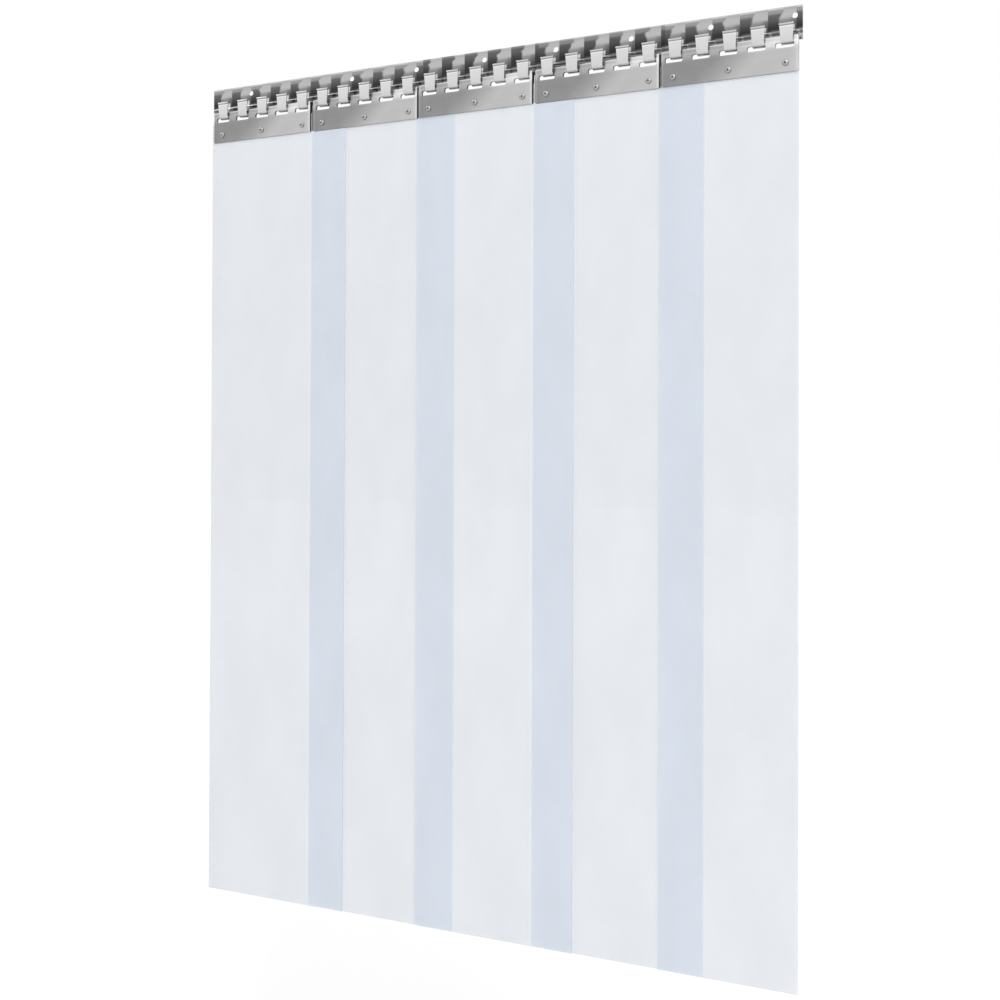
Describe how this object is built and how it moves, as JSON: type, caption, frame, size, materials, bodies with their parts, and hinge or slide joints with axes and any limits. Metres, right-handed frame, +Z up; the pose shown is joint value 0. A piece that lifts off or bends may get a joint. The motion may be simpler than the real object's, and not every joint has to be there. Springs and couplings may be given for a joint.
{
  "type": "pvc strip curtain",
  "caption": "Doorway curtain of clear overlapping PVC strips, riveted between slotted steel plates that hang and swing on the round hooks of a screw-on wall rail.",
  "frame": {"origin": "on the wall plane at the rail's back face, at the curtain's middle and at the height of the screw holes", "axes": "+Y into the wall, out of the rail's back face; +Z up; +X to the right seen from the front"},
  "size_m": [1.135, 0.0187, 1.5001],
  "materials": {
    "rail_steel": "bright rolled stainless sheet",
    "plate_steel": "finely brushed stainless sheet",
    "rivet_steel": "satin stainless blind rivet",
    "washer_steel": "plain stainless washer",
    "clear_pvc": "smooth translucent PVC with a faint blue tint"
  },
  "bodies": {
    "rail": {"mounting_rail": "rail_steel"},
    "hanger_1": {"front_plate_1": "plate_steel", "back_plate_1": "plate_steel", "strip_1": "clear_pvc", "rivet_1_left": "rivet_steel", "rivet_1_middle": "rivet_steel", "rivet_1_right": "rivet_steel", "washer_1_left": "washer_steel", "washer_1_middle": "washer_steel", "washer_1_right": "washer_steel"},
    "hanger_2": {"front_plate_2": "plate_steel", "back_plate_2": "plate_steel", "strip_2": "clear_pvc", "rivet_2_left": "rivet_steel", "rivet_2_middle": "rivet_steel", "rivet_2_right": "rivet_steel", "washer_2_left": "washer_steel", "washer_2_middle": "washer_steel", "washer_2_right": "washer_steel"},
    "hanger_3": {"front_plate_3": "plate_steel", "back_plate_3": "plate_steel", "strip_3": "clear_pvc", "rivet_3_left": "rivet_steel", "rivet_3_middle": "rivet_steel", "rivet_3_right": "rivet_steel", "washer_3_left": "washer_steel", "washer_3_middle": "washer_steel", "washer_3_right": "washer_steel"},
    "hanger_4": {"front_plate_4": "plate_steel", "back_plate_4": "plate_steel", "strip_4": "clear_pvc", "rivet_4_left": "rivet_steel", "rivet_4_middle": "rivet_steel", "rivet_4_right": "rivet_steel", "washer_4_left": "washer_steel", "washer_4_middle": "washer_steel", "washer_4_right": "washer_steel"},
    "hanger_5": {"front_plate_5": "plate_steel", "back_plate_5": "plate_steel", "strip_5": "clear_pvc", "rivet_5_left": "rivet_steel", "rivet_5_middle": "rivet_steel", "rivet_5_right": "rivet_steel", "washer_5_left": "washer_steel", "washer_5_middle": "washer_steel", "washer_5_right": "washer_steel"}
  },
  "joints": [
    {"name": "hanger_1_swing", "type": "hinge", "parent": "rail", "child": "hanger_1", "pos_m": [-0.45, -0.0086, -0.0371], "axis": [-1, 0, 0], "range_deg": [0, 75]},
    {"name": "hanger_2_swing", "type": "hinge", "parent": "rail", "child": "hanger_2", "pos_m": [-0.225, -0.0086, -0.0371], "axis": [-1, 0, 0], "range_deg": [-30, 0]},
    {"name": "hanger_3_swing", "type": "hinge", "parent": "rail", "child": "hanger_3", "pos_m": [0, -0.0086, -0.0371], "axis": [-1, 0, 0], "range_deg": [0, 75]},
    {"name": "hanger_4_swing", "type": "hinge", "parent": "rail", "child": "hanger_4", "pos_m": [0.225, -0.0086, -0.0371], "axis": [-1, 0, 0], "range_deg": [-30, 0]},
    {"name": "hanger_5_swing", "type": "hinge", "parent": "rail", "child": "hanger_5", "pos_m": [0.45, -0.0086, -0.0371], "axis": [-1, 0, 0], "range_deg": [0, 75]}
  ]
}
